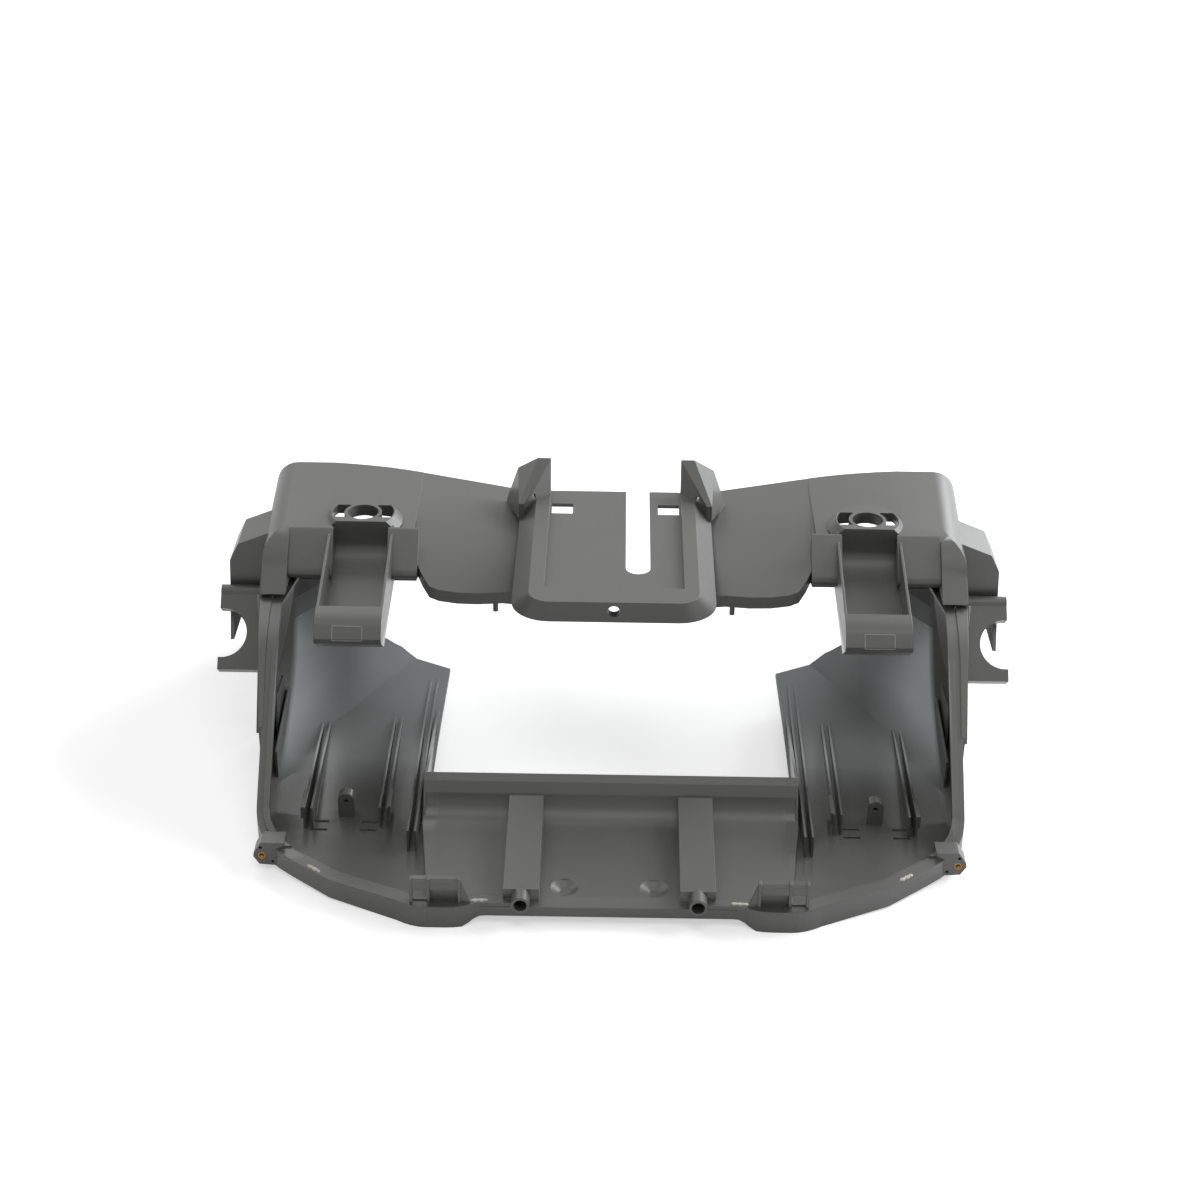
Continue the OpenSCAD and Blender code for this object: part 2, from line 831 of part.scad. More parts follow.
// Brass insert: knurled bush pressed into its lug, bore along y
module insert_form() {
    translate([insert_x, insert_y + insert_l, insert_z])
        rotate([90, 0, 0])
            difference() {
                cylinder(d = insert_d, h = insert_l);
                translate([0, 0, 1])
                    cylinder(d = insert_bore, h = insert_l);
            }
}

module insert_left() {
    color("#b07a3a")
        translate([0, -mid_y, 0])
            mirror([1, 0, 0])
                insert_form();
}

module insert_right() {
    color("#b07a3a")
        translate([0, -mid_y, 0])
            insert_form();
}

housing();
insert_left();
insert_right();
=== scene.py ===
# %% [markdown]
# # A moulded plastic housing on a white table
#
# The object is one large injection moulded shell with two brass inserts pressed into it.
# Its shape comes from the CAD pack, so this script doesn't build walls or ribs again. It
# gives the shell its plastic, adds the small marks that moulding leaves, builds the two
# brass inserts with their threads, and sets a plain white table with soft studio light.
#
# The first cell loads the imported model. Everything is in metres, X to the right, Y away
# from the camera, Z up, with the origin on the table under the middle of the housing.

import math

import bmesh
import bpy
from mathutils import Matrix, Vector
from mathutils.bvhtree import BVHTree


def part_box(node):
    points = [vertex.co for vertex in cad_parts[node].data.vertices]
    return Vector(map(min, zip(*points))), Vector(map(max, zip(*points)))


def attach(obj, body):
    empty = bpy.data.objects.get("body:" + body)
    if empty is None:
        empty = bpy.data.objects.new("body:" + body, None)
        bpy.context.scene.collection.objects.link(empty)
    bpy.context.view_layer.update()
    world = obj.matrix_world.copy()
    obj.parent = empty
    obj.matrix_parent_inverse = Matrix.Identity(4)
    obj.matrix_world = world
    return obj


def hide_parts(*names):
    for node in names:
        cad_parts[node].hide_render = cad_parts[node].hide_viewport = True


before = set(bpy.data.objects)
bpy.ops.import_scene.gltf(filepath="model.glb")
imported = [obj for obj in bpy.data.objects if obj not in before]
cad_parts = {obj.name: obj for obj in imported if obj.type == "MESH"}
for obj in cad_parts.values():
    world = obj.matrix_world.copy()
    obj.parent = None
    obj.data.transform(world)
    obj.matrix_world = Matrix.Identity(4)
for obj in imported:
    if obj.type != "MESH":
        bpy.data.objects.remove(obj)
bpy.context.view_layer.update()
MM = 0.001

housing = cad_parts["housing"]
print("nodes:", sorted(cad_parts))

# %% [markdown]
# ## Colours and nodes
#
# A colour is written as the sRGB hex value that an eye picks from a swatch. Shaders work
# with linear light, so one function turns the hex value to linear numbers. A second one
# adds a node with its settings and its inputs in a single call, which keeps each material
# readable from top to bottom.


# %% Colours
def linear(hex_colour):
    """An sRGB hex colour as the linear RGBA that a shader socket takes."""
    values = [int(hex_colour[i:i + 2], 16) / 255 for i in (1, 3, 5)]
    return [v / 12.92 if v <= 0.04045 else ((v + 0.055) / 1.055) ** 2.4 for v in values] + [1]


print("middle grey in linear light:", [round(v, 3) for v in linear("#808080")])


# %% Nodes and materials
def add(tree, kind, inputs=None, **settings):
    """One node. An input is a value for its socket, or another node's socket to link to it."""
    node = tree.nodes.new(kind)
    for key, value in settings.items():
        setattr(node, key, value)
    for key, value in (inputs or {}).items():
        if isinstance(value, bpy.types.NodeSocket):
            tree.links.new(value, node.inputs[key])
        else:
            node.inputs[key].default_value = value
    return node


def new_material(name):
    """An empty material, its node tree and its output node."""
    material = bpy.data.materials.new(name)
    material.use_nodes = True
    material.node_tree.nodes.clear()
    print("material", name)
    return material, material.node_tree, add(material.node_tree, "ShaderNodeOutputMaterial")


# %% [markdown]
# ## The camera
#
# The photograph looks down on the open side at about 30 degrees from a bit over a metre
# and a half, with a short telephoto lens. The camera is also rolled by just under a
# degree, so that the right end of the housing sits a little lower in the picture. Blender
# could aim it with a constraint, but a written turn keeps the roll and stays where it is.

# %% Camera
CAMERA_PLACE = Vector((0, -1.3529, 0.913))
CAMERA_PITCH = math.radians(29.5)
CAMERA_ROLL = math.radians(-0.9)
SENSOR_WIDTH = 36       # both in millimetres, as on a real camera
FOCAL_LENGTH = 64.5
IMAGE_SIDE = 1200       # pixels
MIRROR_LINE = 614.0     # column of the picture on which the housing's middle lies

camera_data = bpy.data.cameras.new("camera")
camera_data.sensor_width = SENSOR_WIDTH
camera_data.lens = FOCAL_LENGTH
camera_data.shift_x = (IMAGE_SIDE / 2 - MIRROR_LINE) / IMAGE_SIDE
camera_data.clip_end = 60     # metres, well past the far edge of the floor
camera = bpy.data.objects.new("camera", camera_data)
bpy.context.scene.collection.objects.link(camera)

sight = Vector((0, math.cos(CAMERA_PITCH), -math.sin(CAMERA_PITCH)))
aimed = sight.to_track_quat("-Z", "Y").to_matrix().to_4x4()
camera.location = CAMERA_PLACE
camera.rotation_mode = "QUATERNION"
camera.rotation_quaternion = (Matrix.Rotation(CAMERA_ROLL, 4, sight) @ aimed).to_quaternion()
bpy.context.scene.camera = camera
print("camera at", [round(v, 3) for v in camera.location])

# %% [markdown]
# ## Smooth walls
#
# The CAD model draws a curved wall as narrow flat strips. On the real moulding the light
# runs over such a wall without a break. Moving vertices would change the CAD mesh, so two
# modifiers do the work on top of it. The first is made of geometry nodes: it joins the
# loose edges of the strips, marks an edge as sharp only where its two faces meet at more
# than a given angle, and shades the rest smooth. The second weighs the normals by the
# area of their faces, so that the large flat faces stay flat.

# %% Smoothing nodes
SHARP_ANGLE = math.radians(24)
JOIN_DISTANCE = 0.02 * MM
FLATNESS = 90           # 50 is neutral, and above it a large face counts for more


def smoothing_tree(angle):
    """Geometry nodes that join the strips of a CAD wall and mark its sharp edges."""
    tree = bpy.data.node_groups.new("smooth_moulded_walls", "GeometryNodeTree")
    for way in ("INPUT", "OUTPUT"):
        tree.interface.new_socket("Geometry", in_out=way, socket_type="NodeSocketGeometry")
    start = add(tree, "NodeGroupInput")
    plain = add(tree, "GeometryNodeRemoveAttribute",
                {"Geometry": start.outputs[0], "Name": "custom_normal"})
    joined = add(tree, "GeometryNodeMergeByDistance",
                 {"Geometry": plain.outputs[0], "Distance": JOIN_DISTANCE})
    bend = add(tree, "GeometryNodeInputMeshEdgeAngle")
    gentle = add(tree, "FunctionNodeCompare",
                 {0: bend.outputs["Unsigned Angle"], 1: angle}, operation="LESS_THAN")
    faces = add(tree, "GeometryNodeSetShadeSmooth",
                {"Geometry": joined.outputs[0], "Shade Smooth": True}, domain="FACE")
    edges = add(tree, "GeometryNodeSetShadeSmooth",
                {"Geometry": faces.outputs[0], "Shade Smooth": gentle.outputs[0]}, domain="EDGE")
    add(tree, "NodeGroupOutput", {0: edges.outputs[0]})
    return tree


smoothing = smoothing_tree(SHARP_ANGLE)
print("smoothing up to", round(math.degrees(SHARP_ANGLE)), "degrees")


# %% Both modifiers on the housing
def smooth_walls(piece):
    """Smooth curved walls and flat faces that stay flat."""
    piece.modifiers.new("smooth walls", "NODES").node_group = smoothing
    flat = piece.modifiers.new("flat faces stay flat", "WEIGHTED_NORMAL")
    flat.mode = "FACE_AREA_WITH_ANGLE"
    flat.weight = FLATNESS
    flat.keep_sharp = True


smooth_walls(housing)
print("smoothing on", housing.name, "with", len(housing.data.polygons), "faces")

# %% [markdown]
# ## The plastic
#
# The housing is dark grey ABS, injection moulded. Two tool finishes show on it. The
# outer skins, the rims and the tray come from a spark eroded tool half: a very fine even
# grain that spreads a highlight into a soft sheen. The two tubs come from the polished
# half, so their floors are much glossier and mirror the bright surroundings at a flat
# angle. Both also have the slow waves and faint flow lines that hot plastic leaves.
#
# The two finishes could be two materials on chosen faces. One material with a mask is
# simpler here, because the CAD mesh stays as it is and the border can be soft. The mask
# reads the place on the housing, so it is the same from every side.

# %% Plastic: a mask from limits
BORDER = 2 * MM         # half the width over which one finish turns to the other


def within(tree, *limits):
    """1 where every limit holds, 0 elsewhere. A limit is (value, side, edge, half its width)."""
    mask = 1.0
    for value, side, edge, soft in limits:
        ends = (edge - soft, edge + soft) if side == "above" else (edge + soft, edge - soft)
        step = add(tree, "ShaderNodeMapRange",
                   {"Value": value, "From Min": ends[0], "From Max": ends[1]})
        mask = add(tree, "ShaderNodeMath", {0: mask, 1: step.outputs[0]},
                   operation="MULTIPLY").outputs[0]
    return mask


print("finishes meet over", round(2 * BORDER / MM, 1), "mm")

# %% Plastic: where the polished tool half shows
TUB_INSIDE_X = (0.124, 0.243)   # the tubs lie between these distances from the middle
TUB_BACK_Y = 0.118
TUB_TOP_Z = 0.118


def polished_mask(tree, place):
    """1 inside the two tubs, 0 on the rest of the housing."""
    axes = add(tree, "ShaderNodeSeparateXYZ", {"Vector": place})
    side = add(tree, "ShaderNodeMath", {0: axes.outputs["X"]}, operation="ABSOLUTE").outputs[0]
    return within(tree,
                  (side, "above", TUB_INSIDE_X[0], BORDER),
                  (side, "below", TUB_INSIDE_X[1], BORDER),
                  (axes.outputs["Y"], "below", TUB_BACK_Y, BORDER),
                  (axes.outputs["Z"], "below", TUB_TOP_Z, BORDER))


print("a tub is", round((TUB_INSIDE_X[1] - TUB_INSIDE_X[0]) / MM), "mm wide inside")

# %% [markdown]
# ## The pale ramps
#
# At its back each tub's floor turns up in a ramp. In the photograph the polished ramps are pale
# and slightly bluish, because they mirror the white room. This ramp faces its own chute and
# saddle, and a true mirror of those is dark. More light on the object would spoil everything
# else, so a painted reflection stands in for the mirror: the ramp's base colour is painted a
# pale bluish grey, and a faired normal shades it as one broad curve that faces up and out.

# %% Plastic: the ramps
RAMP_FOOT_Z = 0.009
RAMP_TOP_Z = 0.046
RAMP_FRONT_Y = -0.045
RAMP_FRONT_SOFT = 20 * MM
RAMP_UPWARD = 0.34      # a face whose normal points up by less than this is a wall or a rib
RAMP_UPWARD_SOFT = 0.04
RAMP_FACING = (0.0, -0.50, 0.86)
RAMP_FAIRING = 0.8      # share by which the normal turns to that side
# painted reflection: the pale bluish grey that the ramps' colour takes in place of the white
# room they mirror
RAMP_PAINTED_REFLECTION = "#dcdfe1"


def ramp_mask(tree, place, polished):
    """0 on a tub's floor, rising to 1 at the top of its ramp, and 0 on the sides of its ribs."""
    axes = add(tree, "ShaderNodeSeparateXYZ", {"Vector": place})
    facing = add(tree, "ShaderNodeNewGeometry").outputs["True Normal"]
    upward = add(tree, "ShaderNodeSeparateXYZ", {"Vector": facing}).outputs["Z"]
    open_side = within(tree,
                       (axes.outputs["Y"], "above", RAMP_FRONT_Y, RAMP_FRONT_SOFT),
                       (upward, "above", RAMP_UPWARD, RAMP_UPWARD_SOFT))
    climb = add(tree, "ShaderNodeMapRange",
                {"Value": axes.outputs["Z"], "From Min": RAMP_FOOT_Z, "From Max": RAMP_TOP_Z},
                interpolation_type="SMOOTHSTEP").outputs[0]
    in_tub = add(tree, "ShaderNodeMath", {0: polished, 1: climb}, operation="MULTIPLY")
    return add(tree, "ShaderNodeMath", {0: in_tub.outputs[0], 1: open_side},
               operation="MULTIPLY").outputs[0]


def faired(tree, normal, ramp):
    """The normal, turned on the ramps towards the side that one broad curve would face."""
    share = add(tree, "ShaderNodeMath", {0: ramp, 1: RAMP_FAIRING}, operation="MULTIPLY")
    turned = add(tree, "ShaderNodeMix", {"Factor": share.outputs[0], "A": normal,
                                         "B": RAMP_FACING}, data_type="VECTOR")
    return add(tree, "ShaderNodeVectorMath", {0: turned.outputs["Result"]},
               operation="NORMALIZE").outputs[0]


print("a ramp climbs", round((RAMP_TOP_Z - RAMP_FOOT_Z) / MM), "mm")

# %% [markdown]
# ## The plastic's own texture
#
# Three noises of real size make one plastic: slow waves where a large wall cooled
# unevenly, flow lines where the melt ran from the gates in front towards the back, and
# the grain of the tool itself. They could be painted in an image, but noise has no seams
# on a shape without UVs and stays sharp at any distance. A bevel node rounds the edges
# in the shading alone: a tool edge is never quite sharp, and the round catches light.

# %% Plastic: sizes of its texture
ABS_IOR = 1.54
SATIN_ROUGHNESS = 0.38
POLISHED_ROUGHNESS = 0.24
FLOW_UNEVENNESS = 0.015     # the roughness swings by this much along the flow lines
FLOW_SCALE = 28.0           # one flow line in 36 mm of Y or Z, and in 4 mm of X
FLOW_STRETCH = (9.0, 1.0, 1.0)
FLOW_WAVE = 45 * MM         # distance between slow waves in a wall
WAVE_HEIGHT = 1.5 * MM
WAVE_STRENGTH = 0.06
GRAIN = 0.9 * MM            # the real grain is 0.2 mm, drawn coarser so that it shows
GRAIN_STRENGTH = 0.05
POLISHED_STRENGTH = 0.008
EDGE_RADIUS = 0.6 * MM
print("grain", round(GRAIN / MM, 1), "mm, waves", round(FLOW_WAVE / MM), "mm")


# %% Plastic: colour, gloss and relief
def moulded_colour(tree, waves, ramp, colour):
    """Two close shades in slow clouds, and over them on the ramps a pale painted reflection."""
    clouds = add(tree, "ShaderNodeMix",
                 {"Factor": waves, "A": linear(colour[0]), "B": linear(colour[1])},
                 data_type="RGBA")
    painted_reflection = add(tree, "ShaderNodeMix",
                {"Factor": ramp, "A": clouds.outputs["Result"], "B": linear(RAMP_PAINTED_REFLECTION)},
                data_type="RGBA")
    return painted_reflection.outputs["Result"]


def moulded_gloss(tree, place, polished):
    """Satin or polished roughness, a little uneven along the flow lines."""
    stretched = add(tree, "ShaderNodeMapping", {"Vector": place, "Scale": FLOW_STRETCH})
    flow = add(tree, "ShaderNodeTexNoise",
               {"Vector": stretched.outputs[0], "Scale": FLOW_SCALE, "Detail": 4.0})
    finish = add(tree, "ShaderNodeMapRange",
                 {"Value": polished, "To Min": SATIN_ROUGHNESS, "To Max": POLISHED_ROUGHNESS})
    uneven = add(tree, "ShaderNodeMapRange", {"Value": flow.outputs["Fac"],
                                              "To Min": -FLOW_UNEVENNESS,
                                              "To Max": FLOW_UNEVENNESS})
    return add(tree, "ShaderNodeMath", {0: finish.outputs[0], 1: uneven.outputs[0]},
               operation="ADD").outputs[0]


def moulded_relief(tree, place, waves, polished, ramp):
    """Rounded edges, slow waves and the tool's grain, which the polish all but removes."""
    grain = add(tree, "ShaderNodeTexNoise",
                {"Vector": place, "Scale": 1 / GRAIN, "Detail": 2.0, "Roughness": 0.6})
    depth = add(tree, "ShaderNodeMapRange",
                {"Value": polished, "To Min": GRAIN_STRENGTH, "To Max": POLISHED_STRENGTH})
    rounded = add(tree, "ShaderNodeBevel", {"Radius": EDGE_RADIUS}, samples=4)
    ripple = add(tree, "ShaderNodeBump",
                 {"Height": waves, "Strength": WAVE_STRENGTH, "Distance": WAVE_HEIGHT,
                  "Normal": faired(tree, rounded.outputs[0], ramp)})
    return add(tree, "ShaderNodeBump",
               {"Height": grain.outputs["Fac"], "Strength": depth.outputs[0],
                "Distance": GRAIN, "Normal": ripple.outputs[0]}).outputs[0]


# %% Plastic: the material
def moulded_abs(name, colour):
    """ABS from a steel tool: an even colour with a painted reflection on the ramps, satin where
    grained and glossy where polished.
    """
    material, tree, output = new_material(name)
    place = add(tree, "ShaderNodeTexCoord").outputs["Object"]
    polished = polished_mask(tree, place)
    ramp = ramp_mask(tree, place, polished)
    waves = add(tree, "ShaderNodeTexNoise", {"Vector": place, "Scale": 1 / FLOW_WAVE,
                                             "Detail": 3.0, "Roughness": 0.55}).outputs["Fac"]
    shader = add(tree, "ShaderNodeBsdfPrincipled",
                 {"Base Color": moulded_colour(tree, waves, ramp, colour),
                  "Roughness": moulded_gloss(tree, place, polished),
                  "IOR": ABS_IOR,
                  "Normal": moulded_relief(tree, place, waves, polished, ramp)})
    tree.links.new(shader.outputs[0], output.inputs["Surface"])
    return material


plastic = moulded_abs("abs_injection_moulded_dark_grey", ("#565654", "#5b5b59"))
housing.data.materials.clear()
housing.data.materials.append(plastic)

# %% [markdown]
# ## Finding the surface
#
# Small marks have to sit on the moulding exactly. Their places could be typed in as
# numbers, but a height that is off by half a millimetre makes a mark float or sink. A BVH
# tree of the housing answers one question quickly: where does a straight line first meet
# the surface? Each mark asks it for every one of its points.

# %% Ray casting
surface_finder = BVHTree.FromPolygons(
    [v.co.copy() for v in housing.data.vertices],
    [tuple(p.vertices) for p in housing.data.polygons])


def on_surface(start, direction, lift):
    """The point where a line from start meets the housing, lifted back along the line."""
    direction = Vector(direction).normalized()
    place = surface_finder.ray_cast(Vector(start), direction)[0]
    return place - direction * lift


tray = on_surface((0, -0.15, 0.2), (0, 0, -1), 0)
print("the front tray lies at z", round(tray.z / MM, 1), "mm")

# %% [markdown]
# ## Building a piece
#
# Every mark and both inserts are grids of points that a formula places. Modelling tools could
# draw them too, but a formula says the real sizes and can be read again. One function turns a
# list of points and faces into a mesh, merges points that fall together and turns all faces
# outwards. It also gives the piece its material and hangs it on the one body, so that it rides
# on it.

# %% A mesh from points and faces
MERGE_DISTANCE = 0.001 * MM


def add_piece(name, points, faces, material, smooth=False):
    """A mesh object that rides on the root body."""
    mesh = bpy.data.meshes.new(name)
    mesh.from_pydata([tuple(p) for p in points], [], faces)
    joined = bmesh.new()
    joined.from_mesh(mesh)
    bmesh.ops.remove_doubles(joined, verts=joined.verts, dist=MERGE_DISTANCE)
    bmesh.ops.recalc_face_normals(joined, faces=joined.faces)
    joined.to_mesh(mesh)
    joined.free()
    for face in mesh.polygons:
        face.use_smooth = smooth
    mesh.materials.append(material)
    piece = bpy.data.objects.new(name, mesh)
    bpy.context.scene.collection.objects.link(piece)
    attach(piece, "root")
    print(name, "with", len(mesh.polygons), "faces")
    return piece


def sheet_faces(rows, columns, closed=False):
    """Quads between the points of a grid. A closed grid joins its last column to its first."""
    across = columns if closed else columns - 1
    return [(r * columns + c, r * columns + (c + 1) % columns,
             (r + 1) * columns + (c + 1) % columns, (r + 1) * columns + c)
            for r in range(rows - 1) for c in range(across)]


# %% [markdown]
# ## The facets beside the chutes
#
# In front of each shoulder, on both sides of the chute, the top of the moulding runs down
# in a slanted panel with a rounded lower lip, and under the lip lies a dark step. The CAD
# model closes this place with an upright wall. The slanted panel is one profile in the
# Y-Z plane, a closed ring of points, drawn out along X between the side wall and the
# chute. It wears the housing's own plastic and the same smoothing, and reads as one
# moulding with it.

# %% Slanted facets
SIDES = ((-1, "left"), (1, "right"))
FACET_PROFILE = [(84.0, 160.1), (82.6, 160.1), (80.8, 159.3), (78.8, 157.6), (59.6, 137.4),
                 (58.0, 135.4), (57.2, 133.2), (57.4, 131.0), (58.8, 129.4), (61.0, 128.8),
                 (84.0, 121.0)]     # Y and Z in millimetres
FACET_SPANS = {"outer": (212.5, 245.0), "inner": (148.0, 171.0)}    # X in millimetres
FACET_STEPS = 6


def facet(name, span, side):
    """One slanted panel, its ends closed with a face."""
    ring = len(FACET_PROFILE)
    points = []
    for i in range(FACET_STEPS + 1):
        x = (span[0] + (span[1] - span[0]) * i / FACET_STEPS) * side
        points += [(x * MM, y * MM, z * MM) for y, z in FACET_PROFILE]
    faces = sheet_faces(FACET_STEPS + 1, ring, closed=True)
    faces += [tuple(range(ring)), tuple(FACET_STEPS * ring + k for k in range(ring))]
    smooth_walls(add_piece(name, points, faces, plastic, smooth=True))


for side, word in SIDES:
    for place, span in FACET_SPANS.items():
        facet(f"facet_{place}_{word}", span, side)

# %% [markdown]
# ## The gate scars
#
# Hot plastic entered the tool through four tunnel gates along the front ledge. Where a
# gate was torn off, the plastic is stretched and turns whitish, with a rough edge. Such a
# scar is less than a millimetre high, so it is a thin crumpled sheet laid on the ledge: a
# grid of points, each cast down onto the surface and lifted a little. A painted patch
# would be simpler, but it has no edge of its own for the light to catch.

# %% Torn plastic
TORN_THREAD = 0.6 * MM      # width of the pulled threads
TORN_DEPTH = 0.4 * MM


def torn_abs(name, colour):
    """Torn ABS: stress whitened, dull, with tiny threads of pulled plastic."""
    material, tree, output = new_material(name)
    place = add(tree, "ShaderNodeTexCoord").outputs["Object"]
    threads = add(tree, "ShaderNodeTexNoise",
                  {"Vector": place, "Scale": 1 / TORN_THREAD, "Detail": 3.0}).outputs["Fac"]
    shade = add(tree, "ShaderNodeMix",
                {"Factor": threads, "A": linear(colour[0]), "B": linear(colour[1])},
                data_type="RGBA")
    relief = add(tree, "ShaderNodeBump",
                 {"Height": threads, "Strength": 0.6, "Distance": TORN_DEPTH})
    shader = add(tree, "ShaderNodeBsdfPrincipled",
                 {"Base Color": shade.outputs["Result"], "Roughness": 0.6, "IOR": ABS_IOR,
                  "Normal": relief.outputs[0]})
    tree.links.new(shader.outputs[0], output.inputs["Surface"])
    return material


whitened = torn_abs("abs_stress_whitened", ("#8f8d84", "#d9d6c8"))

# %% Gate scars
SCAR_LENGTH = 12.6 * MM
SCAR_WIDTH = 3.8 * MM
SCAR_HEIGHT = 0.9 * MM
SINK = 0.02 * MM            # the rim of a mark goes this deep, so that no gap shows
SCAR_ROWS, SCAR_COLUMNS = 9, 27
ABOVE_LEDGE = 0.06          # the rays start here, above the ledge and clear of the rest
# X and Y of the scars on the right side in metres, and their turn in degrees
SCAR_PLACES = [((0.2050, -0.1525), 38), ((0.0885, -0.1854), -3)]


def torn_width(u, side):
    """Share of the full width along the scar, u from -1 to 1: uneven, closed at its ends."""
    return math.sqrt(max(0, 1 - u ** 4)) * (0.82 + 0.18 * math.sin(9 * u + side))


def torn_height(u, v):
    """Height of the scar along u and across v: crumpled on top, sunk at the rim."""
    crumple = 0.82 + 0.18 * math.sin(23 * u + 7 * v) * math.cos(11 * v - 5 * u)
    return (1 - v ** 6) * (1 - u ** 8) * SCAR_HEIGHT * crumple - SINK


def gate_scar(name, centre, turn, side):
    """A crumpled strip along the ledge, thinner at its ends."""
    along = Vector((math.cos(turn), math.sin(turn) * side, 0))
    across = Vector((-along.y, along.x, 0))
    points = []
    for r in range(SCAR_ROWS):
        for c in range(SCAR_COLUMNS):
            v, u = 2 * r / (SCAR_ROWS - 1) - 1, 2 * c / (SCAR_COLUMNS - 1) - 1
            spot = Vector((centre[0] * side, centre[1], ABOVE_LEDGE))
            spot += (along * (u * SCAR_LENGTH / 2)
                     + across * (v * torn_width(u, side) * SCAR_WIDTH / 2))
            points.append(on_surface(spot, (0, 0, -1), torn_height(u, v)))
    add_piece(name, points, sheet_faces(SCAR_ROWS, SCAR_COLUMNS), whitened)


for number, (centre, degrees) in enumerate(SCAR_PLACES):
    for side, word in SIDES:
        gate_scar(f"gate_scar_{word}_{number + 1}", centre, math.radians(degrees), side)

# %% [markdown]
# ## The scribed frames
#
# On the rolled lip of each chute a rectangle of fine raised lines marks where something is glued
# later. In the tool such lines are scratched in by hand, 0.3 mm wide, and the plastic fills
# them. Bump could draw them, but then they would be flat in the mesh. Four thin strips follow
# the curved lip instead, again by ray casting, this time from the front and above. They are of
# the same ABS, in a paler colour.

# %% Scribed lines
FRAME_CENTRE = Vector((0.1917, -0.0213, 0.1285))
FRAME_SIZE = (21.5 * MM, 10.5 * MM)
LINE_WIDTH = 0.6 * MM       # the real line is 0.3 mm wide, drawn wider so that it shows
LINE_HEIGHT = 0.2 * MM
LINE_STEPS = 16
LOOK_AT_LIP = Vector((0, 0.8, -0.6))
LOOK_FROM = 0.03            # how far in front of the lip the rays start
UP_THE_LIP = Vector((0, 0.6, 0.8))

scribed_plastic = moulded_abs("abs_scribed_line", ("#9c9a95", "#a6a49f"))


def scribed_line(start, end):
    """Rows of three points along one line of the frame, in the frame's own plane."""
    way = (Vector(end) - Vector(start)).normalized()
    off = Vector((-way.y, way.x)) * LINE_WIDTH / 2
    rows = []
    for i in range(LINE_STEPS + 1):
        middle = Vector(start).lerp(Vector(end), i / LINE_STEPS)
        rows.append((middle + off, middle, middle - off))
    return rows


def scribed_frame(name, side):
    """Four raised lines on the lip: each is a low ridge, its two sides sunk into the lip."""
    half_x, half_y = FRAME_SIZE[0] / 2, FRAME_SIZE[1] / 2
    corners = [(-half_x, -half_y), (half_x, -half_y), (half_x, half_y), (-half_x, half_y)]
    centre = Vector((FRAME_CENTRE.x * side, FRAME_CENTRE.y, FRAME_CENTRE.z))
    points, faces = [], []
    for i in range(4):
        rows = scribed_line(corners[i], corners[(i + 1) % 4])
        first = len(points)
        for row in rows:
            for place, lift in zip(row, (-SINK, LINE_HEIGHT, -SINK)):
                spot = centre + Vector((place.x, 0, 0)) + UP_THE_LIP * place.y
                points.append(on_surface(spot - LOOK_AT_LIP * LOOK_FROM, LOOK_AT_LIP, lift))
        faces += [tuple(first + k for k in f) for f in sheet_faces(len(rows), 3)]
    add_piece(name, points, faces, scribed_plastic)


for side, word in SIDES:
    scribed_frame(f"scribed_frame_{word}", side)

# %% [markdown]
# ## Brass
#
# The inserts are turned from brass bar, so the metal is warm, bright on the fresh cuts
# and dulled in patches where hands and air have been at it, with fine marks left by the
# tool tip. A metal takes its colour from the base colour alone and keeps the default IOR.
# One cloudy noise drives both the colour and the roughness, so that the paler, fogged
# patches are the duller ones too.

# %% Turned brass
TOOL_MARK = 0.25 * MM       # real marks are 0.1 mm apart, drawn coarser so that they show
TOOL_MARK_DEPTH = 0.05 * MM
TARNISH = 2.5 * MM          # size of a dull patch


def turned_brass(name, colour):
    """Brass as turned: warm metal with fine marks left by the tool tip."""
    material, tree, output = new_material(name)
    place = add(tree, "ShaderNodeTexCoord").outputs["Object"]
    marks = add(tree, "ShaderNodeTexNoise",
                {"Vector": place, "Scale": 1 / TOOL_MARK, "Detail": 2.0})
    tarnish = add(tree, "ShaderNodeTexNoise",
                  {"Vector": place, "Scale": 1 / TARNISH, "Detail": 3.0}).outputs["Fac"]
    shade = add(tree, "ShaderNodeMix",
                {"Factor": tarnish, "A": linear(colour[0]), "B": linear(colour[1])},
                data_type="RGBA")
    roughness = add(tree, "ShaderNodeMapRange",
                    {"Value": tarnish, "To Min": 0.24, "To Max": 0.42})
    relief = add(tree, "ShaderNodeBump", {"Height": marks.outputs["Fac"], "Strength": 0.2,
                                          "Distance": TOOL_MARK_DEPTH})
    shader = add(tree, "ShaderNodeBsdfPrincipled",
                 {"Base Color": shade.outputs["Result"], "Roughness": roughness.outputs[0],
                  "Metallic": 1.0, "Normal": relief.outputs[0]})
    tree.links.new(shader.outputs[0], output.inputs["Surface"])
    return material


brass = turned_brass("brass_turned", ("#84623a", "#a07a4c"))

# %% [markdown]
# ## The threaded inserts
#
# An insert is a short brass tube. Outside it has a knurl that bites into the molten
# plastic when it is pressed in warm, and inside it has an M4 thread. The CAD model holds
# a plain tube. The detailed one replaces it in the same place: a grid of points that goes
# down the outside and back through the bore, joined to itself at the end. A screw modifier
# could sweep the thread, but here the bore's radius simply swings once per turn and once
# per pitch, and that draws the helix with the knurl and chamfers in one mesh.

# %% Knurl and thread
INSERT_BORE = 1.65 * MM
INSERT_OUTER = 3.2 * MM
THREAD_PITCH = 0.7 * MM
THREAD_DEPTH = 0.36 * MM
KNURL_TEETH = 24
KNURL_DEPTH = 0.25 * MM
CHAMFER = 0.35 * MM


def thread_radius(depth, angle):
    """The bore's radius at a depth and an angle: a plain V, about as deep as a real M4."""
    phase = (depth / THREAD_PITCH - angle / math.tau) % 1
    lead_in = min(1, depth / THREAD_PITCH)
    return INSERT_BORE + THREAD_DEPTH * (1 - lead_in * (1 - abs(2 * phase - 1)))


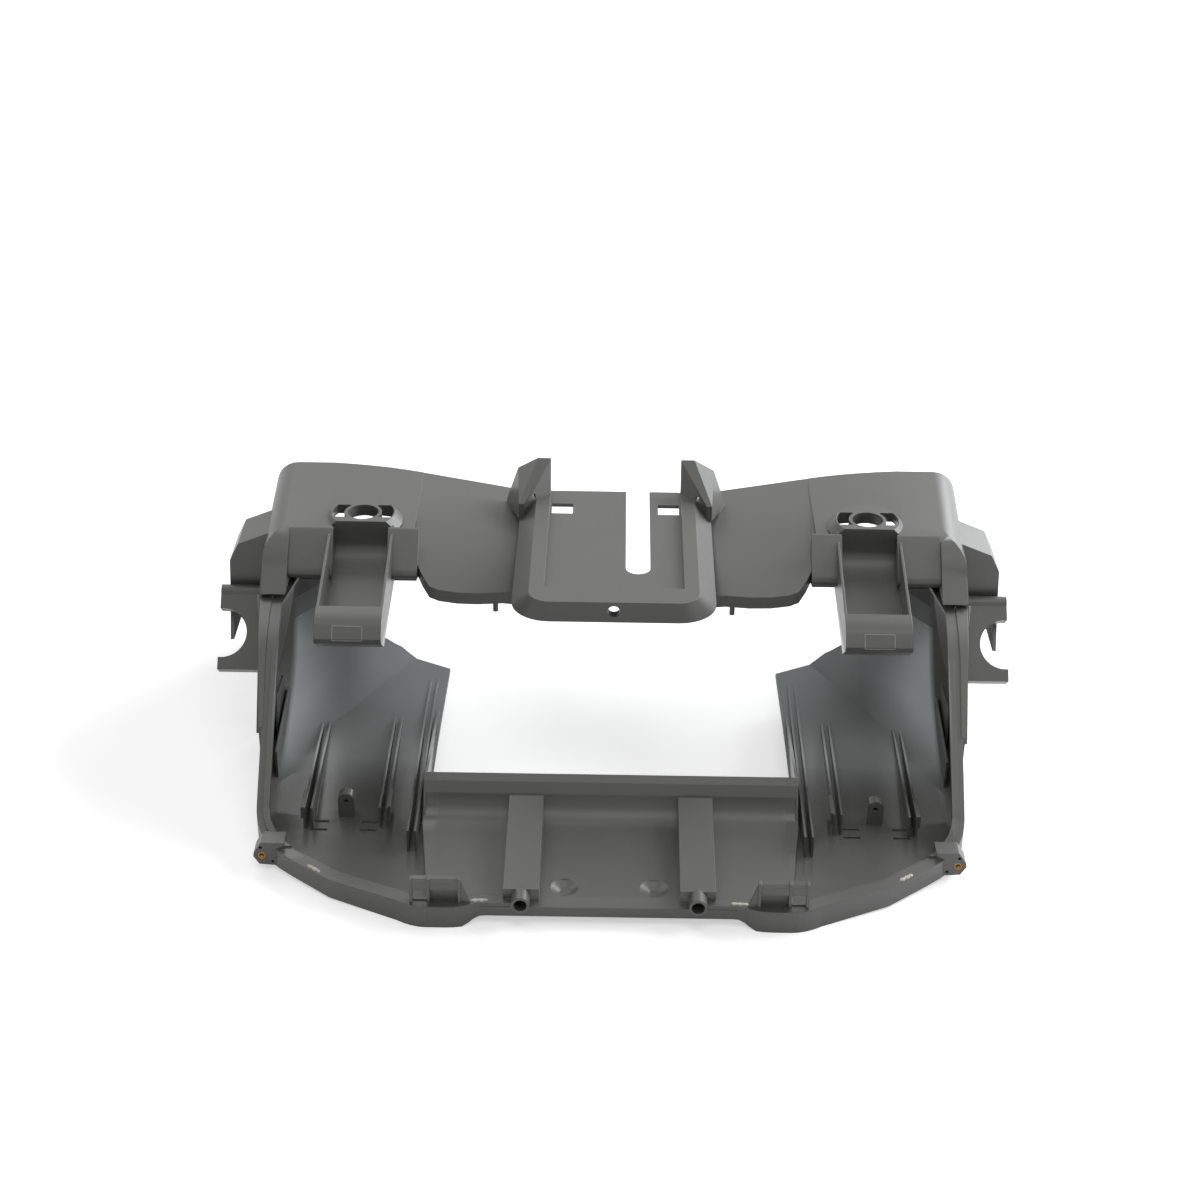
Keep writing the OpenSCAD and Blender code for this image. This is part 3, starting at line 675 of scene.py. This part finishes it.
def knurl_radius(depth, length, angle):
    """A straight knurl between two chamfered ends."""
    near_end = min(depth, length - depth)
    tooth = abs(2 * (angle / math.tau * KNURL_TEETH % 1) - 1)
    if near_end < CHAMFER:
        return INSERT_OUTER - CHAMFER + near_end
    return INSERT_OUTER - KNURL_DEPTH * tooth * min(1, (near_end - CHAMFER) / CHAMFER)


print("a knurl tooth is", round(math.tau * INSERT_OUTER / KNURL_TEETH / MM, 2), "mm wide")

# %% Threaded inserts
AROUND = 96                 # points round the tube
OUTSIDE_STEPS = 24
STEPS_PER_PITCH = 8


def brass_insert(node):
    """The detailed insert in the place of the CAD node that it replaces."""
    low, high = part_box(node)
    centre_x, centre_z = (low[0] + high[0]) / 2, (low[2] + high[2]) / 2
    length = high[1] - low[1]
    bore_steps = int(length / THREAD_PITCH * STEPS_PER_PITCH)
    profile = [("out", length * i / OUTSIDE_STEPS) for i in range(OUTSIDE_STEPS, -1, -1)]
    profile += [("in", length * i / bore_steps) for i in range(bore_steps + 1)]
    points = []
    for wall, depth in profile:
        for i in range(AROUND):
            angle = math.tau * i / AROUND
            radius = (knurl_radius(depth, length, angle) if wall == "out"
                      else thread_radius(depth, angle))
            points.append((centre_x + radius * math.cos(angle), low[1] + depth,
                           centre_z + radius * math.sin(angle)))
    faces = sheet_faces(len(profile), AROUND, closed=True)
    last = (len(profile) - 1) * AROUND
    faces += [(last + i, last + (i + 1) % AROUND, (i + 1) % AROUND, i) for i in range(AROUND)]
    piece = add_piece("threaded_" + node, points, faces, brass)
    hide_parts(node)
    print(piece.name, "is", round(length / MM, 1), "mm long and replaces", node)


for node in ("insert_left", "insert_right"):
    brass_insert(node)

# %% [markdown]
# ## The white table
#
# The photograph is a catalogue shot: everything round the object is white, and only a
# soft shadow ties it to the table. A plain diffuse floor under plain lamps comes out
# slightly grey. More light would bleach the housing too, so the floor gives back a little
# light of its own, which only the camera, mirrors and glass see.


# %% What the eye sees
def seen_by_eye(tree):
    """1 for camera, mirror and glass rays, 0 for rays that light the object."""
    rays = add(tree, "ShaderNodeLightPath")
    both = add(tree, "ShaderNodeMath", {0: rays.outputs["Is Camera Ray"],
                                        1: rays.outputs["Is Glossy Ray"]}, operation="MAXIMUM")
    return add(tree, "ShaderNodeMath", {0: both.outputs[0],
                                        1: rays.outputs["Is Transmission Ray"]},
               operation="MAXIMUM").outputs[0]


# %% Floor
FLOOR_HALF = 9.0
FLOOR_COLOUR = "#f2f2f2"
FLOOR_LIFT = 0.52           # the floor's own light under the housing
FLOOR_FADE = (0.8, 2.6)     # metres from the middle over which the board turns plain white


def painted_board(name):
    """Matt white board: even, with no gloss, so that only the shadow shows on it."""
    material, tree, output = new_material(name)
    board = add(tree, "ShaderNodeBsdfDiffuse", {"Color": linear(FLOOR_COLOUR)})
    place = add(tree, "ShaderNodeTexCoord").outputs["Object"]
    away = add(tree, "ShaderNodeVectorMath", {0: place}, operation="LENGTH")
    fading = add(tree, "ShaderNodeMapRange",
                 {"Value": away.outputs["Value"], "From Min": FLOOR_FADE[0],
                  "From Max": FLOOR_FADE[1], "To Min": FLOOR_LIFT, "To Max": 1.0})
    lift = add(tree, "ShaderNodeMath", {0: seen_by_eye(tree), 1: fading.outputs[0]},
               operation="MULTIPLY")
    glow = add(tree, "ShaderNodeEmission", {"Strength": lift.outputs[0]})
    both = add(tree, "ShaderNodeAddShader", {0: board.outputs[0], 1: glow.outputs[0]})
    tree.links.new(both.outputs[0], output.inputs["Surface"])
    return material


floor_mesh = bpy.data.meshes.new("table_top")
corners = [(-FLOOR_HALF, -FLOOR_HALF, 0), (FLOOR_HALF, -FLOOR_HALF, 0),
           (FLOOR_HALF, FLOOR_HALF, 0), (-FLOOR_HALF, FLOOR_HALF, 0)]
floor_mesh.from_pydata(corners, [], [(0, 1, 2, 3)])
floor_mesh.materials.append(painted_board("matt_white_board"))
table_top = bpy.data.objects.new("table_top", floor_mesh)
bpy.context.scene.collection.objects.link(table_top)
print("floor", 2 * FLOOR_HALF, "m wide")

# %% [markdown]
# ## The white room
#
# The room behind the table is white in the picture and in every reflection. As a lamp it
# would be far too strong from all sides and wash out the shadow, so it lights the object
# at a fifth of that. The same test as for the floor tells the two kinds of rays apart.

# %% World
WORLD_LEVEL = 0.20

world = bpy.data.worlds.new("white_room")
world.use_nodes = True
world.node_tree.nodes.clear()
level = add(world.node_tree, "ShaderNodeMapRange",
            {"Value": seen_by_eye(world.node_tree), "To Min": WORLD_LEVEL, "To Max": 1.0})
sky = add(world.node_tree, "ShaderNodeBackground",
          {"Color": linear("#ffffff"), "Strength": level.outputs[0]})
add(world.node_tree, "ShaderNodeOutputWorld", {"Surface": sky.outputs[0]})
bpy.context.scene.world = world
bpy.context.scene.view_settings.view_transform = "Standard"
print("the room lights the object at", WORLD_LEVEL)

# %% [markdown]
# ## The lamps
#
# In the photograph the light comes softly from the right and a little behind, like a
# large window, and a white tent fills the other sides. A small lamp or a sun would give
# hard shadows, so each is an area lamp of a metre or more. A lamp's level says how bright
# its face is, where white paper is 1, which keeps the look when its size changes.

# %% Lamps
HOUSING_MIDDLE = Vector((0, 0, 0.08))


def soft_lamp(name, azimuth, elevation, distance, size, level, colour="#ffffff"):
    """A soft lamp that faces the housing. Azimuth turns clockwise from the back, in degrees."""
    data = bpy.data.lights.new(name, "AREA")
    data.shape = "RECTANGLE"
    data.size, data.size_y = size
    data.energy = level * math.pi * size[0] * size[1]
    data.color = linear(colour)[:3]
    lamp = bpy.data.objects.new(name, data)
    turn, rise = math.radians(azimuth), math.radians(elevation)
    away = Vector((math.sin(turn) * math.cos(rise), math.cos(turn) * math.cos(rise),
                   math.sin(rise)))
    lamp.location = HOUSING_MIDDLE + away * distance
    lamp.rotation_euler = away.to_track_quat("Z", "Y").to_euler()
    bpy.context.scene.collection.objects.link(lamp)
    print("lamp", name, "of", round(data.energy, 1), "W")


soft_lamp("window_right", 60, 28, 2.3, (2.4, 1.5), 6.4, "#fbfdff")
soft_lamp("tent_left_back", -40, 50, 2.4, (1.6, 1.6), 1.5)
soft_lamp("tent_top_front", 170, 66, 2.0, (1.2, 1.2), 1.5)
